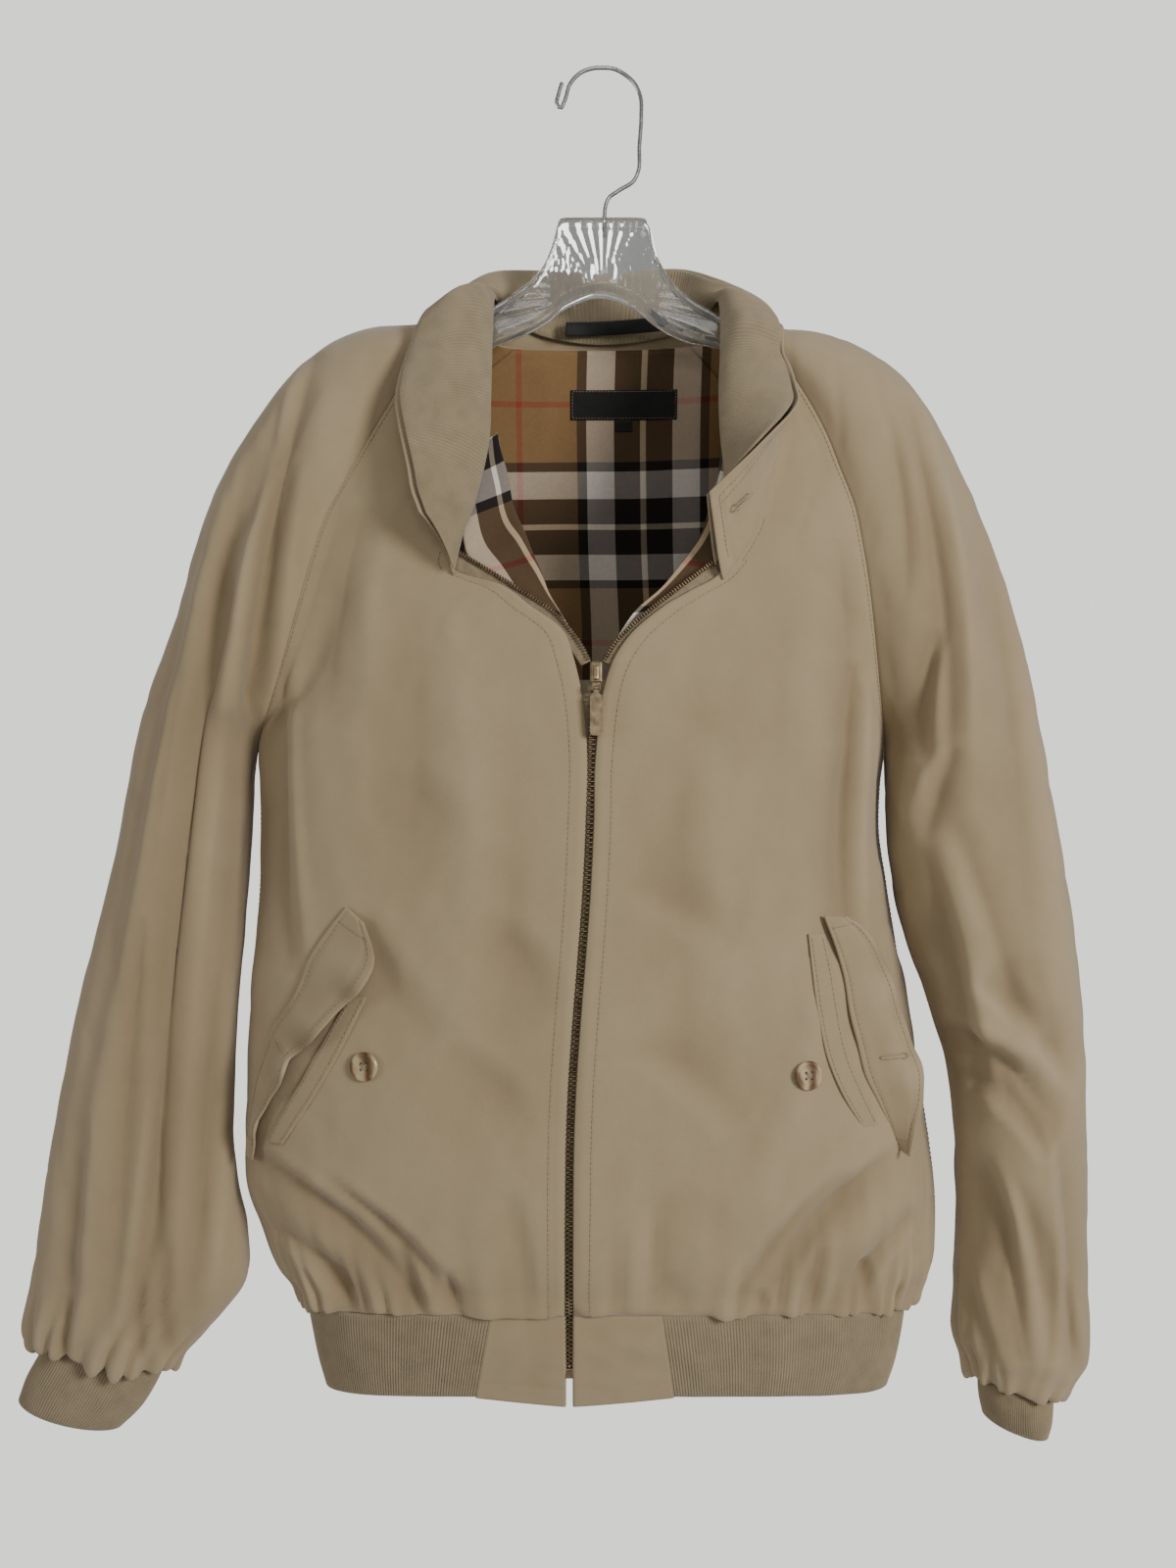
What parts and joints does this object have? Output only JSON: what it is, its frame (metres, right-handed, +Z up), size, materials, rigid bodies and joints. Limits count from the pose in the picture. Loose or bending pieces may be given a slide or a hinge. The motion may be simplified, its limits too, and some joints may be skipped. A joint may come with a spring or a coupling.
{
  "type": "harrington jacket on a hanger",
  "caption": "Raglan harrington jacket with a zip front, rib-knit collar lining, hem and cuffs and slanted flap pockets, hung on a clear moulded hanger with a wire hook.",
  "frame": {"origin": "inside of the hook's crown, where it rests on a rod", "axes": "+Z up, front of the jacket towards -Y, +X to the wearer's left"},
  "size_m": [0.708, 0.1673, 0.91],
  "materials": {
    "shell_cotton": "fine stone cotton",
    "rib_knit": "rib knit",
    "lining_check": "camel check cotton",
    "label_black": "plain woven black",
    "zip_tape": "woven tape",
    "zip_metal": "aged bronze",
    "button_horn": "horn-like, low gloss",
    "clear_plastic": "clear moulded plastic",
    "steel_wire": "plated wire"
  },
  "bodies": {
    "jacket": {"front_left": "shell_cotton", "front_right": "shell_cotton", "back": "shell_cotton", "sleeve_left": "shell_cotton", "sleeve_right": "shell_cotton", "collar_shell": "shell_cotton", "hem_tab_left": "shell_cotton", "hem_tab_right": "shell_cotton", "pocket_flap_left": "shell_cotton", "pocket_flap_right": "shell_cotton", "pocket_lip_left": "shell_cotton", "pocket_lip_right": "shell_cotton", "hem_rib": "rib_knit", "cuff_left": "rib_knit", "cuff_right": "rib_knit", "collar_knit": "rib_knit", "lining_back": "lining_check", "lining_front_left": "lining_check", "lining_front_right": "lining_check", "neck_label": "label_black", "size_label": "label_black", "zip_tape_left": "zip_tape", "zip_tape_right": "zip_tape", "zip_tape_open_left": "zip_tape", "zip_tape_open_right": "zip_tape", "zip_chain": "zip_metal", "zip_slider": "zip_metal", "zip_stop": "zip_metal", "pocket_button_left": "button_horn", "pocket_button_right": "button_horn", "hanger": "clear_plastic", "hook": "steel_wire"},
    "pull_tab": {"zip_pull": "zip_metal"}
  },
  "joints": [
    {"name": "pull_tab_hinge", "type": "hinge", "parent": "jacket", "child": "pull_tab", "pos_m": [-0.003, -0.0798, -0.4186], "axis": [-1, 0, 0], "range_deg": [0, 150]}
  ]
}
